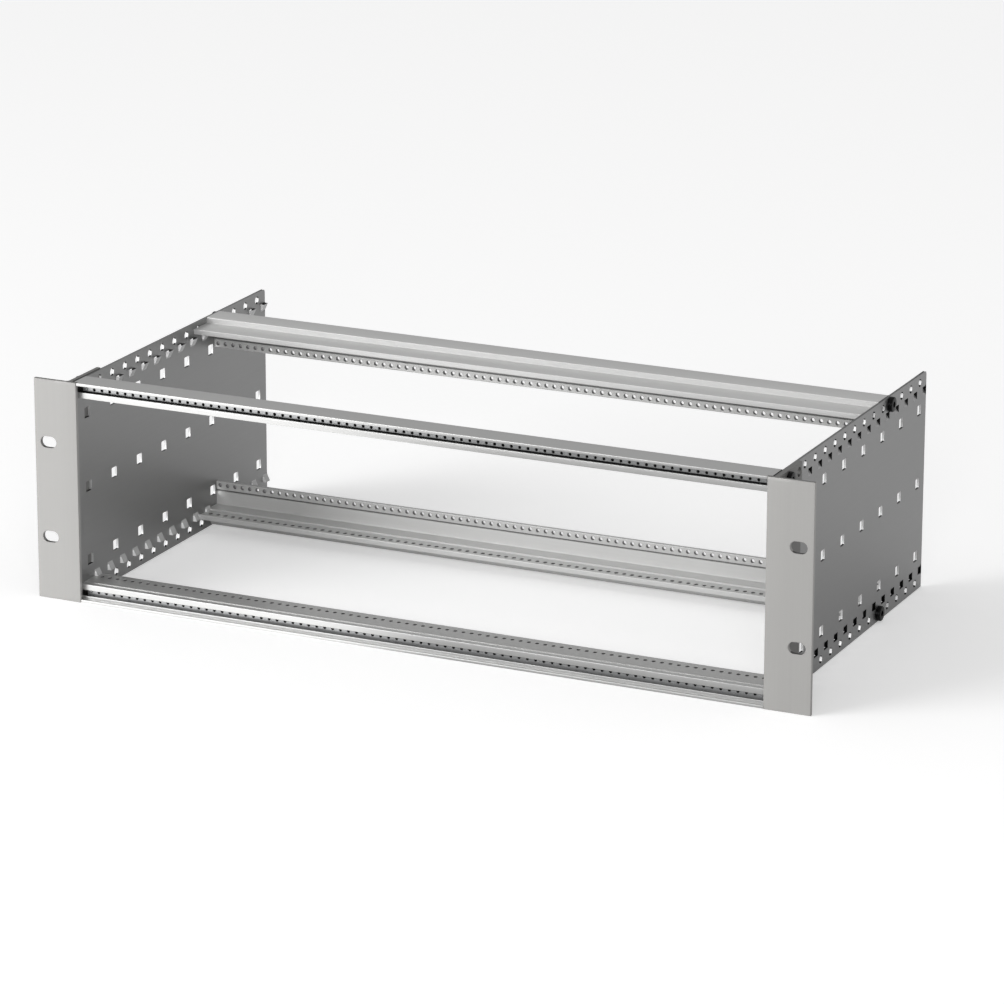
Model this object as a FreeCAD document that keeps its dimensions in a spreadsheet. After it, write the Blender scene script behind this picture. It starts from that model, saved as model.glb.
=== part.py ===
import FreeCAD, Part
import math
import os
import Sketcher

# Subrack card cage, three height units tall, for plug-in circuit cards.
# Two perforated side plates carry two front rails and two rear rails, and two flanges bolt it into a rack.
# Axes: +X to the right, +Y into the rack, +Z up. The origin is the middle of the flanges' front face.

# Driving sizes in millimetres. Each has one line here and one cell in the document's sheet.
SIZES = {
    # Grid of card positions along the rails
    "slot_count": 84,
    "slot_pitch": 5.08,
    "rail_end_margin": 2.44,
    # Side plates
    "plate_thickness": 1.5,
    "plate_setback": 0.45,
    "plate_rear": 237.0,
    "plate_corner": 3.0,
    "row_count": 15,
    "row_pitch": 15.0,
    "square_count": 8,
    "round_hole_radius": 2.75,
    "lance_width": 5.0,
    "lance_height": 4.4,
    "lance_inset": 11.4,
    "square_width": 6.0,
    "square_height": 6.3,
    "square_spread": 44.45,
    "rear_screw_row": 10,
    "top_row_front": 11,
    "top_row_rear": 3,
    # Rack flanges
    "flange_height": 132.5,
    "flange_thickness": 2.5,
    "flange_lap": 3.63,
    "flange_width": 27.63,
    "flange_corner": 1.0,
    "leg_thickness": 2.5,
    "leg_depth": 35.5,
    "rack_slot_offset": 15.25,
    "rack_slot_spacing": 57.15,
    "rack_slot_length": 10.3,
    "rack_slot_height": 6.8,
    # Front rails, measured from the rail's outer face and from the flange's front face
    "lip_front": 0.3,
    "lip_thickness": 1.26,
    "bead_height": 1.8,
    "bead_depth": 1.2,
    "rail_face": 4.3,
    "rail_wall": 1.3,
    "channel_low": 3.1,
    "channel_high": 6.55,
    "channel_floor": 1.8,
    "rail_height": 10.1,
    "deck_thickness": 1.7,
    "deck_rear": 26.9,
    "groove_setback": 2.3,
    "groove_width": 2.6,
    "groove_depth": 0.4,
    "notch_clearance": 0.3,
    # Threaded strips in the front rails
    "strip_face": 7.6,
    "strip_thickness": 2.0,
    "strip_height": 4.4,
    "strip_gap": 0.05,
    "strip_end_gap": 2.8,
    "strip_ledge": 0.5,
    "strip_hole_rise": 3.15,
    "strip_hole_width": 2.0,
    "strip_hole_depth": 1.6,
    # Screw bosses of the rails
    "screw_setback": 16.4,
    "screw_inset": 5.25,
    "boss_radius": 4.8,
    "boss_web": 2.6,
    # Rear rails
    "web_front": 171.0,
    "web_thickness": 2.5,
    "web_height": 26.6,
    "web_hole_drop": 2.5,
    "web_hole_width": 2.4,
    "web_groove_drop": 5.2,
    "web_groove_height": 1.0,
    "web_groove_depth": 0.8,
    "shelf_front": 145.6,
    "shelf_step": 160.4,
    "shelf_low": 11.0,
    "shelf_rise": 1.06,
    "shelf_thickness": 1.7,
    "shelf_lip_rise": 1.5,
    "shelf_lip_depth": 1.4,
    "top_rail_lift": 5.5,
    "ridge_front": 162.0,
    "ridge_rise": 3.5,
    "ridge_wall": 1.5,
    "top_screw_setback": 177.5,
    "top_boss_radius": 4.95,
    # Screws
    "screw_radius": 2.25,
    "screw_play": 0.05,
    "screw_length": 12.0,
    "head_radius": 4.4,
    "head_height": 2.5,
    "socket_width": 2.6,
    "socket_depth": 1.3,
    "grub_radius": 0.95,
    "grub_length": 2.2,
}

SCREW_HEAD_SIDES = 12
SCREW_SHANK_SIDES = 8
ROUND_HOLE_SIDES = 6
GRUB_SIDES = 6

doc = FreeCAD.newDocument("subrack_card_cage")
sheet = doc.addObject("Spreadsheet::Sheet", "sizes")
for row, (name, number) in enumerate(SIZES.items(), start=1):
    sheet.set("A%d" % row, name)
    sheet.set("B%d" % row, str(number))
    sheet.setAlias("B%d" % row, name)
doc.recompute()


def amount(text):
    """Value of a sum of sizes written in words, such as web_front + web_thickness - row_pitch/2."""
    total = 0.0
    sign = 1.0
    for word in text.split():
        if word in "+-":
            sign = 1.0 if word == "+" else -1.0
            continue
        name, _, divisor = word.partition("/")
        name, _, factor = name.partition("*")
        term = SIZES[name] if name in SIZES else float(name)
        total += sign * term * (SIZES.get(factor, 1.0)) / float(divisor or 1)
    return total


def expression(text):
    """The same sum as an expression on the sheet's cells."""
    words = []
    for word in text.split():
        for name in word.replace("*", " ").replace("/", " ").split():
            if name in SIZES:
                word = word.replace(name, "sizes." + name)
        words.append(word)
    return " ".join(words)


def opposite(text):
    """The same sum with every sign turned round, for the other side of the middle."""
    swapped = {"+": "-", "-": "+"}
    return "0 - " + " ".join(swapped.get(word, word) for word in text.split())


def bind(thing, path, text):
    thing.setExpression(path, expression(text))


def makeBody(label):
    body = doc.addObject("PartDesign::Body", label)
    body.Label = label
    return body


def placeBody(body, x, y, z, turned=False):
    """A turned body is rotated half a turn about the Y axis, which swaps left and right, top and bottom."""
    turn = FreeCAD.Rotation(FreeCAD.Vector(0, 1, 0), 180 if turned else 0)
    body.Placement = FreeCAD.Placement(FreeCAD.Vector(amount(x), amount(y), amount(z)), turn)
    bind(body, ".Placement.Base.x", x)
    bind(body, ".Placement.Base.y", y)
    bind(body, ".Placement.Base.z", z)


def originPart(body, role):
    return next(part for part in body.Origin.OriginFeatures if part.Role == role)


def makeSketch(body, name, role, offset="0"):
    """Sketch on one of the body's own planes, moved along the plane's normal by the offset."""
    sketch = body.newObject("Sketcher::SketchObject", name)
    sketch.AttachmentSupport = (originPart(body, role), [""])
    sketch.MapMode = "FlatFace"
    sketch.AttachmentOffset = FreeCAD.Placement(FreeCAD.Vector(0, 0, amount(offset)), FreeCAD.Rotation())
    bind(sketch, "AttachmentOffset.Base.z", offset)
    return sketch


def pin(sketch, kind, geometry, point, text, label):
    """Dimension from the sketch's origin to a point of its geometry, bound to the sheet."""
    number = sketch.addConstraint(Sketcher.Constraint(kind, -1, 1, geometry, point, amount(text)))
    sketch.renameConstraint(number, label)
    bind(sketch, "Constraints." + label, text)


def addOutline(sketch, corners, label="p"):
    """Closed outline of straight edges through corners, each a pair of sums of sizes."""
    count = len(corners)
    points = [FreeCAD.Vector(amount(across), amount(up), 0) for across, up in corners]
    first = sketch.GeometryCount
    for number, point in enumerate(points):
        sketch.addGeometry(Part.LineSegment(point, points[(number + 1) % count]), False)
    for number in range(count):
        follower = first + (number + 1) % count
        sketch.addConstraint(Sketcher.Constraint("Coincident", first + number, 2, follower, 1))
    for number, (across, up) in enumerate(corners):
        pin(sketch, "DistanceX", first + number, 1, across, "%sx%d" % (label, number))
        pin(sketch, "DistanceY", first + number, 1, up, "%sy%d" % (label, number))


def addRectangle(sketch, across, up, width, height, label="r"):
    """Rectangle about a centre, with the width and height as names of sizes."""
    left, right = across + " - " + width + "/2", across + " + " + width + "/2"
    low, high = up + " - " + height + "/2", up + " + " + height + "/2"
    addOutline(sketch, [(left, low), (right, low), (right, high), (left, high)], label)


def addCircle(sketch, across, up, radius, label="c"):
    centre = FreeCAD.Vector(amount(across), amount(up), 0)
    circle = sketch.addGeometry(Part.Circle(centre, FreeCAD.Vector(0, 0, 1), amount(radius)), False)
    pin(sketch, "DistanceX", circle, 3, across, label + "x")
    pin(sketch, "DistanceY", circle, 3, up, label + "y")
    number = sketch.addConstraint(Sketcher.Constraint("Radius", circle, amount(radius)))
    sketch.renameConstraint(number, label + "r")
    bind(sketch, "Constraints." + label + "r", radius)


def addPolygon(sketch, across, up, radius, sides, label="g"):
    """Regular polygon whose corners lie on a construction circle, standing on a corner."""
    centre = FreeCAD.Vector(amount(across), amount(up), 0)
    circle = sketch.addGeometry(Part.Circle(centre, FreeCAD.Vector(0, 0, 1), amount(radius)), True)
    pin(sketch, "DistanceX", circle, 3, across, label + "x")
    pin(sketch, "DistanceY", circle, 3, up, label + "y")
    number = sketch.addConstraint(Sketcher.Constraint("Radius", circle, amount(radius)))
    sketch.renameConstraint(number, label + "r")
    bind(sketch, "Constraints." + label + "r", radius)
    step = FreeCAD.Rotation(FreeCAD.Vector(0, 0, 1), 360.0 / sides)
    spoke = FreeCAD.Vector(0, amount(radius), 0)
    first = sketch.GeometryCount
    for _ in range(sides):
        following = step.multVec(spoke)
        sketch.addGeometry(Part.LineSegment(centre + spoke, centre + following), False)
        spoke = following
    for side in range(sides):
        follower = first + (side + 1) % sides
        sketch.addConstraint(Sketcher.Constraint("Coincident", first + side, 2, follower, 1))
        sketch.addConstraint(Sketcher.Constraint("PointOnObject", first + side, 1, circle))
        if side:
            sketch.addConstraint(Sketcher.Constraint("Equal", first, first + side))
    sketch.addConstraint(Sketcher.Constraint("Vertical", first, 1, circle, 3))


def pad(body, sketch, name, length, middle=False):
    feature = body.newObject("PartDesign::Pad", name)
    feature.Profile = sketch
    feature.Midplane = middle
    feature.Length = amount(length)
    bind(feature, "Length", length)
    return feature


def cut(body, sketch, name, depth=None, reverse=False, middle=False):
    """Pocket of a stated depth, or through the whole body when the depth is None."""
    feature = body.newObject("PartDesign::Pocket", name)
    feature.Profile = sketch
    feature.Reversed = reverse
    feature.Midplane = middle
    if depth is None:
        feature.Type = "ThroughAll"
        feature.Midplane = True
    else:
        feature.Length = amount(depth)
        bind(feature, "Length", depth)
    return feature


def repeat(body, feature, name, role, length, count):
    """Copies of one cut, spread evenly over a length along one of the body's axes."""
    pattern = body.newObject("PartDesign::LinearPattern", name)
    pattern.Originals = [feature]
    pattern.Direction = (originPart(body, role), [""])
    pattern.Length = amount(length)
    bind(pattern, "Length", length)
    pattern.Occurrences = int(round(amount(count)))
    bind(pattern, "Occurrences", count)
    body.Tip = pattern
    return pattern


# Sums of sizes that several pieces share
INNER_HALF = "slot_count*slot_pitch/2 + rail_end_margin"
OUTER_HALF = INNER_HALF + " + plate_thickness"
RAIL_LENGTH = "slot_count*slot_pitch + rail_end_margin + rail_end_margin"
SCREW_LINE = "flange_height/2 - screw_inset"
REAR_SCREW = "screw_setback + rear_screw_row*row_pitch"


def makeSidePlate(label, side):
    """Flat perforated sheet: two rows of round holes, two of small windows and three of square holes."""
    body = makeBody(label)
    if side > 0:
        placeBody(body, INNER_HALF, "0", "0")
    else:
        placeBody(body, opposite(OUTER_HALF), "0", "0")
    low, high = "plate_setback - flange_height/2", "flange_height/2 - plate_setback"
    front, rear = "flange_thickness", "plate_rear"
    sketch = makeSketch(body, label + "_outline", "YZ_Plane")
    addOutline(sketch, [(front, low), (rear, low), (rear, high + " - plate_corner"),
                        (rear + " - plate_corner", high), (front, high)])
    pad(body, sketch, label + "_sheet", "plate_thickness")

    def row(name, draw, pitch, count):
        hole = makeSketch(body, label + "_" + name, "YZ_Plane")
        draw(hole)
        pocket = cut(body, hole, label + "_" + name + "_cut")
        repeat(body, pocket, label + "_" + name + "_row", "Y_Axis", pitch, count)

    def roundHole(along, up):
        return lambda sketch: addPolygon(sketch, along, up, "round_hole_radius", ROUND_HOLE_SIDES)

    def squareHole(along, up, width, height):
        return lambda sketch: addRectangle(sketch, along, up, width, height)

    lower, upper = "screw_inset - flange_height/2", SCREW_LINE
    row("bottom_round", roundHole("screw_setback", lower), "row_count*row_pitch - row_pitch", "row_count")
    row("top_round", roundHole("screw_setback", upper),
        "top_row_front*row_pitch - row_pitch", "top_row_front")
    row("top_round_rear", roundHole("screw_setback + row_count*row_pitch - top_row_rear*row_pitch", upper),
        "top_row_rear*row_pitch - row_pitch", "top_row_rear")
    screw = makeSketch(body, label + "_rear_screw", "YZ_Plane")
    addPolygon(screw, "top_screw_setback", upper, "round_hole_radius", ROUND_HOLE_SIDES)
    cut(body, screw, label + "_rear_screw_cut")
    between = "screw_setback + row_pitch/2"
    for name, up in (("bottom_lance", "lance_inset - flange_height/2"),
                     ("top_lance", "flange_height/2 - lance_inset")):
        row(name, squareHole(between, up, "lance_width", "lance_height"),
            "row_count*row_pitch - row_pitch", "row_count")
    for name, up in (("low_square", "0 - square_spread"), ("middle_square", "0"),
                     ("high_square", "square_spread")):
        row(name, squareHole("screw_setback", up, "square_width", "square_height"),
            "square_count*row_pitch + square_count*row_pitch - row_pitch - row_pitch", "square_count")
    return body


def makeBracket(label, turned):
    """Rack flange with a leg that lies outside the side plate, and two slots for the rack screws."""
    body = makeBody(label)
    placeBody(body, "0", "0", "0", turned)
    inner = OUTER_HALF + " - flange_lap"
    outer = OUTER_HALF + " + flange_width - flange_lap"
    leg = OUTER_HALF + " + leg_thickness"
    sketch = makeSketch(body, label + "_section", "XY_Plane")
    addOutline(sketch, [(inner, "0"), (outer, "0"), (outer, "flange_thickness"),
                        (leg + " + flange_corner", "flange_thickness"),
                        (leg, "flange_thickness + flange_corner"), (leg, "leg_depth"),
                        (OUTER_HALF, "leg_depth"), (OUTER_HALF, "flange_thickness"),
                        (inner, "flange_thickness")])
    pad(body, sketch, label + "_bar", "flange_height", middle=True)
    slot_x = OUTER_HALF + " + rack_slot_offset"
    slots = makeSketch(body, label + "_slots", "XZ_Plane")
    for label_z, up in (("l", "0 - rack_slot_spacing/2"), ("u", "rack_slot_spacing/2")):
        addSlot(slots, slot_x, up, label_z)
    cut(body, slots, label + "_slot_cut", "flange_thickness")
    for name, up in (("low", "screw_inset - flange_height/2"), ("high", SCREW_LINE)):
        hole = makeSketch(body, label + "_" + name + "_hole", "YZ_Plane", OUTER_HALF)
        addPolygon(hole, "screw_setback", up, "round_hole_radius", ROUND_HOLE_SIDES, "a")
        addPolygon(hole, "screw_setback + row_pitch", up, "round_hole_radius", ROUND_HOLE_SIDES, "b")
        cut(body, hole, label + "_" + name + "_hole_cut", "leg_thickness", reverse=True)
    return body


def addSlot(sketch, across, up, label):
    """Obround slot lying along the sketch's first axis, with true round ends."""
    x, y = amount(across), amount(up)
    radius = amount("rack_slot_height/2")
    reach = amount("rack_slot_length/2 - rack_slot_height/2")
    normal = FreeCAD.Vector(0, 0, 1)
    east_circle = Part.Circle(FreeCAD.Vector(x + reach, y, 0), normal, radius)
    west_circle = Part.Circle(FreeCAD.Vector(x - reach, y, 0), normal, radius)
    quarter = math.pi / 2
    east = sketch.addGeometry(Part.ArcOfCircle(east_circle, -quarter, quarter), False)
    upper = sketch.addGeometry(Part.LineSegment(FreeCAD.Vector(x + reach, y + radius, 0),
                                                FreeCAD.Vector(x - reach, y + radius, 0)), False)
    west = sketch.addGeometry(Part.ArcOfCircle(west_circle, quarter, 3 * quarter), False)
    lower = sketch.addGeometry(Part.LineSegment(FreeCAD.Vector(x - reach, y - radius, 0),
                                                FreeCAD.Vector(x + reach, y - radius, 0)), False)
    for first, last in ((east, upper), (upper, west), (west, lower), (lower, east)):
        sketch.addConstraint(Sketcher.Constraint("Tangent", first, 2, last, 1))
    number = sketch.addConstraint(Sketcher.Constraint("Radius", east, radius))
    sketch.renameConstraint(number, label + "r")
    bind(sketch, "Constraints." + label + "r", "rack_slot_height/2")
    for arc, sign, side in ((east, " + ", "e"), (west, " - ", "w")):
        swap = " - " if sign == " + " else " + "
        centre = across + sign + "rack_slot_length/2" + swap + "rack_slot_height/2"
        pin(sketch, "DistanceX", arc, 3, centre, label + side)
    pin(sketch, "DistanceY", east, 3, up, label + "y")


def makeFrontRail(label, turned):
    """Extruded rail: long front lip, slot for the threaded strip, deck for card guides and screw boss."""
    body = makeBody(label)
    placeBody(body, "0", "0", "flange_height/2" if turned else "0 - flange_height/2", turned)
    face, wall = "rail_face", "rail_face + rail_wall"
    back = "strip_face + strip_thickness"
    pocket_top = "channel_floor + strip_height + strip_gap + strip_gap"
    ledge = "strip_face + strip_ledge"
    deck = "rail_height - deck_thickness"
    groove = "rail_face + groove_setback"
    web = "screw_setback - boss_web"
    section = makeSketch(body, label + "_section", "YZ_Plane")
    addOutline(section, [
        ("lip_front", "0"), ("lip_front", "bead_height"),
        ("lip_front + bead_depth", "bead_height"), ("lip_front + bead_depth", "lip_thickness"),
        (face, "lip_thickness"), (face, "channel_low"), (wall, "channel_low"), (wall, "channel_floor"),
        (back, "channel_floor"), (back, pocket_top), (ledge, pocket_top), (ledge, deck),
        (wall, deck), (wall, "channel_high"),
        (face, "channel_high"), (face, "rail_height"),
        (groove, "rail_height"), (groove, "rail_height - groove_depth"),
        (groove + " + groove_width", "rail_height - groove_depth"),
        (groove + " + groove_width", "rail_height"),
        ("deck_rear", "rail_height"), ("deck_rear", deck), (web, deck), (web, "lip_thickness"),
        ("screw_setback - lip_front", "lip_thickness"), ("screw_setback - lip_front", "0"),
    ])
    pad(body, section, label + "_extrusion", RAIL_LENGTH, middle=True)
    addBoss(body, label, "screw_setback", "screw_inset", "boss_radius")
    notch = makeSketch(body, label + "_notch", "XY_Plane")
    near = INNER_HALF + " - flange_lap + plate_thickness - notch_clearance"
    behind = "flange_thickness + notch_clearance"
    beyond = INNER_HALF + " + plate_thickness"
    addOutline(notch, [(near, "0"), (beyond, "0"), (beyond, behind), (near, behind)], "e")
    west_near, west_beyond = opposite(near), opposite(beyond)
    addOutline(notch, [(west_near, "0"), (west_beyond, "0"), (west_beyond, behind), (west_near, behind)], "w")
    cut(body, notch, label + "_notch_cut")
    return body


def addBoss(body, label, along, up, radius):
    """Round boss along the whole rail, bored for the screws at both ends."""
    boss = makeSketch(body, label + "_boss", "YZ_Plane")
    addCircle(boss, along, up, radius)
    pad(body, boss, label + "_boss_bar", RAIL_LENGTH, middle=True)
    bore = makeSketch(body, label + "_bore", "YZ_Plane")
    addCircle(bore, along, up, "screw_radius + screw_play")
    cut(body, bore, label + "_bore_cut")


def addWebRow(body, label, up, count):
    """Row of holes through the rear rail's web, half a pitch off the card positions."""
    hole = makeSketch(body, label + "_hole", "XZ_Plane", "0 - web_front")
    addRectangle(hole, "0 - slot_count*slot_pitch/2", up, "web_hole_width", "web_hole_width")
    pocket = cut(body, hole, label + "_hole_cut", "web_thickness")
    repeat(body, pocket, label + "_hole_row", "X_Axis", "slot_count*slot_pitch", count)


def makeRearBottomRail(label):
    """Extruded rail: card shelf with a lip, upright perforated web and screw boss under the shelf."""
    body = makeBody(label)
    placeBody(body, "0", "0", "0 - flange_height/2")
    under = "shelf_low - shelf_thickness"
    web_back = "web_front + web_thickness"
    groove_top = "web_height - web_groove_drop"
    section = makeSketch(body, label + "_section", "YZ_Plane")
    addOutline(section, [
        ("shelf_front", under), ("shelf_front", "shelf_low + shelf_lip_rise"),
        ("shelf_front + shelf_lip_depth", "shelf_low + shelf_lip_rise"),
        ("shelf_front + shelf_lip_depth", "shelf_low"), ("shelf_step", "shelf_low"),
        ("shelf_step", "shelf_low + shelf_rise"), ("web_front", "shelf_low + shelf_rise"),
        ("web_front", groove_top + " - web_groove_height"),
        ("web_front + web_groove_depth", groove_top + " - web_groove_height"),
        ("web_front + web_groove_depth", groove_top), ("web_front", groove_top),
        ("web_front", "web_height"), (web_back, "web_height"), (web_back, under),
    ])
    pad(body, section, label + "_extrusion", RAIL_LENGTH, middle=True)
    addBoss(body, label, REAR_SCREW, "screw_inset", "boss_radius")
    addWebRow(body, label, "web_height - web_hole_drop", "slot_count + 1")
    return body


def makeRearTopRail(label):
    """The same shelf and web upside down, with a hollow ridge above that carries the screw boss."""
    body = makeBody(label)
    placeBody(body, "0", "0", "flange_height/2 + top_rail_lift", turned=True)
    under = "shelf_low - shelf_thickness"
    web_back = "web_front + web_thickness"
    groove_top = "web_height - web_groove_drop"
    ridge = under + " - ridge_rise"
    section = makeSketch(body, label + "_section", "YZ_Plane")
    addOutline(section, [
        ("shelf_front", under), ("shelf_front", "shelf_low + shelf_lip_rise"),
        ("shelf_front + shelf_lip_depth", "shelf_low + shelf_lip_rise"),
        ("shelf_front + shelf_lip_depth", "shelf_low"), ("shelf_step", "shelf_low"),
        ("shelf_step", "shelf_low + shelf_rise"), ("web_front", "shelf_low + shelf_rise"),
        ("web_front", groove_top + " - web_groove_height"),
        ("web_front + web_groove_depth", groove_top + " - web_groove_height"),
        ("web_front + web_groove_depth", groove_top), ("web_front", groove_top),
        ("web_front", "web_height"), (web_back, "web_height"),
        (web_back, "shelf_low + shelf_rise"), ("top_screw_setback", "shelf_low + shelf_rise"),
        ("top_screw_setback", ridge), ("ridge_front", ridge), ("ridge_front", under),
    ])
    pad(body, section, label + "_extrusion", RAIL_LENGTH, middle=True)
    hollow = makeSketch(body, label + "_hollow", "YZ_Plane")
    low, high = ridge + " + ridge_wall", "shelf_low + shelf_rise - ridge_wall"
    near, far = "ridge_front + ridge_wall", "web_front + ridge_wall/2"
    addOutline(hollow, [(near, low), (far, low), (far, high), (near, high)])
    cut(body, hollow, label + "_hollow_cut")
    addBoss(body, label, "top_screw_setback", "screw_inset + top_rail_lift", "top_boss_radius")
    addWebRow(body, label, "web_height - web_hole_drop", "slot_count + 1")
    return body


def makeStrip(label, turned):
    """Bar with one threaded hole for each card position, seated at the back of the rail's channel."""
    body = makeBody(label)
    placeBody(body, "0", "0", "flange_height/2" if turned else "0 - flange_height/2", turned)
    half = "slot_count*slot_pitch/2 + rail_end_margin - strip_end_gap"
    west = opposite(half)
    low = "channel_floor + strip_gap"
    sketch = makeSketch(body, label + "_face", "XZ_Plane", "0 - strip_face - strip_thickness")
    addOutline(sketch, [(west, low), (half, low), (half, low + " + strip_height"),
                        (west, low + " + strip_height")])
    pad(body, sketch, label + "_bar", "strip_thickness")
    hole = makeSketch(body, label + "_hole", "XZ_Plane", "0 - strip_face")
    addRectangle(hole, "slot_pitch/2 - slot_count*slot_pitch/2", low + " + strip_hole_rise",
                 "strip_hole_width", "strip_hole_width")
    pocket = cut(body, hole, label + "_hole_cut", "strip_hole_depth")
    repeat(body, pocket, label + "_hole_row", "X_Axis", "slot_count*slot_pitch - slot_pitch", "slot_count")
    return body


def makeScrew(label, side, along, up, base):
    """Round-headed screw that holds a rail's end against its side plate, with a square drive recess."""
    body = makeBody(label)
    turned = side < 0
    if turned:
        placeBody(body, opposite(base), along, up, True)
    else:
        placeBody(body, base, along, up)
    shank = makeSketch(body, label + "_shank", "YZ_Plane")
    addPolygon(shank, "0", "0", "screw_radius", SCREW_SHANK_SIDES)
    rod = pad(body, shank, label + "_rod", "screw_length")
    rod.Reversed = True
    head = makeSketch(body, label + "_head", "YZ_Plane")
    addPolygon(head, "0", "0", "head_radius", SCREW_HEAD_SIDES)
    pad(body, head, label + "_disc", "head_height")
    drive = makeSketch(body, label + "_drive", "YZ_Plane", "head_height")
    addRectangle(drive, "0", "0", "socket_width", "socket_width")
    cut(body, drive, label + "_drive_cut", "socket_depth")
    return body


def makeGrub(label, side, turned):
    """Headless screw in the end hole of a threaded strip, which holds the strip in its channel."""
    body = makeBody(label)
    last_hole = "slot_count*slot_pitch/2 - slot_pitch/2"
    low_row = "channel_floor + strip_gap + strip_hole_rise - flange_height/2"
    placeBody(body, last_hole if side > 0 else opposite(last_hole), "strip_face + strip_hole_depth",
              opposite(low_row) if turned else low_row)
    section = makeSketch(body, label + "_section", "XZ_Plane")
    addPolygon(section, "0", "0", "grub_radius", GRUB_SIDES)
    pad(body, section, label + "_pin", "grub_length")
    return body


pieces = []
for name, side in (("left", -1), ("right", 1)):
    pieces.append(makeSidePlate("side_plate_" + name, side))
    pieces.append(makeBracket("mounting_bracket_" + name, side < 0))
for name, turned in (("bottom", False), ("top", True)):
    pieces.append(makeFrontRail("front_rail_" + name, turned))
    pieces.append(makeStrip("threaded_strip_" + name, turned))
pieces.append(makeRearBottomRail("rear_rail_bottom"))
pieces.append(makeRearTopRail("rear_rail_top"))

LEG_FACE = OUTER_HALF + " + leg_thickness"
LOW_LINE = "screw_inset - flange_height/2"
for name, side in (("left", -1), ("right", 1)):
    pieces.append(makeScrew("front_screw_bottom_" + name, side, "screw_setback", LOW_LINE, LEG_FACE))
    pieces.append(makeScrew("front_screw_top_" + name, side, "screw_setback", SCREW_LINE, LEG_FACE))
    pieces.append(makeScrew("rear_screw_bottom_" + name, side, REAR_SCREW, LOW_LINE, OUTER_HALF))
    pieces.append(makeScrew("rear_screw_top_" + name, side, "top_screw_setback", SCREW_LINE, OUTER_HALF))
    pieces.append(makeGrub("strip_screw_bottom_" + name, side, False))
    pieces.append(makeGrub("strip_screw_top_" + name, side, True))

doc.recompute()

failed = [item.Label for item in doc.Objects if "Invalid" in item.State or "Error" in item.State]
for piece in pieces:
    if piece.Shape.isNull() or not piece.Shape.isValid() or not piece.Shape.Solids:
        failed.append(piece.Label)
if failed:
    raise RuntimeError("not built: " + ", ".join(failed))

os.makedirs("parts", exist_ok=True)
for piece in pieces:
    piece.Shape.exportStep(os.path.join("parts", piece.Label + ".step"))
    print("%-28s %10.1f mm3" % (piece.Label, piece.Shape.Volume))
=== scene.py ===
import math
import bpy
import numpy as np
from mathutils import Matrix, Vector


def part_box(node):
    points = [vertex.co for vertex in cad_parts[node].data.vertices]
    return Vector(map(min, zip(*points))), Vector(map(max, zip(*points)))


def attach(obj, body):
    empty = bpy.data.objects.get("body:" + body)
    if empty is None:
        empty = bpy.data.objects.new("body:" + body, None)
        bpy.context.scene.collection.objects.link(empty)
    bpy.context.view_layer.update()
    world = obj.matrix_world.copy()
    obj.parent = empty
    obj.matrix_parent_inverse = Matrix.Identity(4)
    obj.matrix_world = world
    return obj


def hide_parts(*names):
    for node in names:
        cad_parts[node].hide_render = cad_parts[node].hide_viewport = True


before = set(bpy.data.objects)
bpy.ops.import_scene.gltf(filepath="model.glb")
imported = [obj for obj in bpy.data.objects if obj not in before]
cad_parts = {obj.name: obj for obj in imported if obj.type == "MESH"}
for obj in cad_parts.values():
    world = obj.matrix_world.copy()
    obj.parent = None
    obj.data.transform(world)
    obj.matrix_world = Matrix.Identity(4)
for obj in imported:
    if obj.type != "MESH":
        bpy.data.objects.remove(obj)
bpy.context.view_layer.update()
print("frame loaded:", len(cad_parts), "nodes")

mm = 0.001
cardPitch = 5.08  # spacing of the card positions along the rails
stationStep = cardPitch / 6  # hole centres fall on every third line of this grid
holeBevel = 0.15  # broken edge of every hole
hairline = 1e-6  # a length that counts as none
weldDensity = 1000  # corners are one vertex when they agree to a thousandth of a millimetre
sharpAngle = 34  # edges that turn by more degrees than this stay sharp


# Faces come in as arrays of faces x corners x (x, y, z) in millimetres, turned outwards.
# Corners that fall together are joined into one vertex, and faces that close up on themselves are left out.
# A shade rule takes the faces' centres and directions: 1 is full painted shade, 0 none, -1 full painted light.
def buildPiece(name, patches, material, nodes, shadeRule=None):
    corners = np.concatenate([patch.reshape(-1, 3) for patch in patches])
    counts = np.concatenate([np.full(len(patch), patch.shape[1]) for patch in patches])
    keys = np.round(corners * weldDensity).astype(np.int64)
    _, first, index = np.unique(keys, axis=0, return_index=True, return_inverse=True)
    index = index.ravel()
    starts = np.cumsum(counts) - counts
    faceOf = np.repeat(np.arange(len(counts)), counts)
    previous = np.arange(len(index)) - 1
    previous[starts] = starts + counts - 1
    keep = index != index[previous]
    left = np.bincount(faceOf[keep], minlength=len(counts))
    keep &= left[faceOf] > 2
    left = left[left > 2]
    mesh = bpy.data.meshes.new(name)
    mesh.vertices.add(len(first))
    mesh.vertices.foreach_set("co", (corners[first] * mm).astype(np.float32).ravel())
    mesh.loops.add(int(keep.sum()))
    mesh.loops.foreach_set("vertex_index", index[keep].astype(np.int32))
    mesh.polygons.add(len(left))
    mesh.polygons.foreach_set("loop_start", (np.cumsum(left) - left).astype(np.int32))
    mesh.update(calc_edges=True)
    mesh.validate()
    mesh.shade_smooth()
    mesh.set_sharp_from_angle(angle=math.radians(sharpAngle))
    mesh.materials.append(material)
    if shadeRule is not None:
        centre, direction = np.empty((2, len(mesh.polygons), 3), np.float32)
        mesh.polygons.foreach_get("center", centre.ravel())
        mesh.polygons.foreach_get("normal", direction.ravel())
        shade = mesh.attributes.new("paintedShadeAndLight", "FLOAT", "FACE")
        shade.data.foreach_set("value", shadeRule(centre / mm, direction).astype(np.float32))
    piece = bpy.data.objects.new(name, mesh)
    bpy.context.scene.collection.objects.link(piece)
    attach(piece, "root")
    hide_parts(*nodes)


# Half a turn about the depth axis: left and right change places, and top and bottom too.
def halfTurn(patches):
    return [patch * (-1, 1, -1) for patch in patches]


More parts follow.
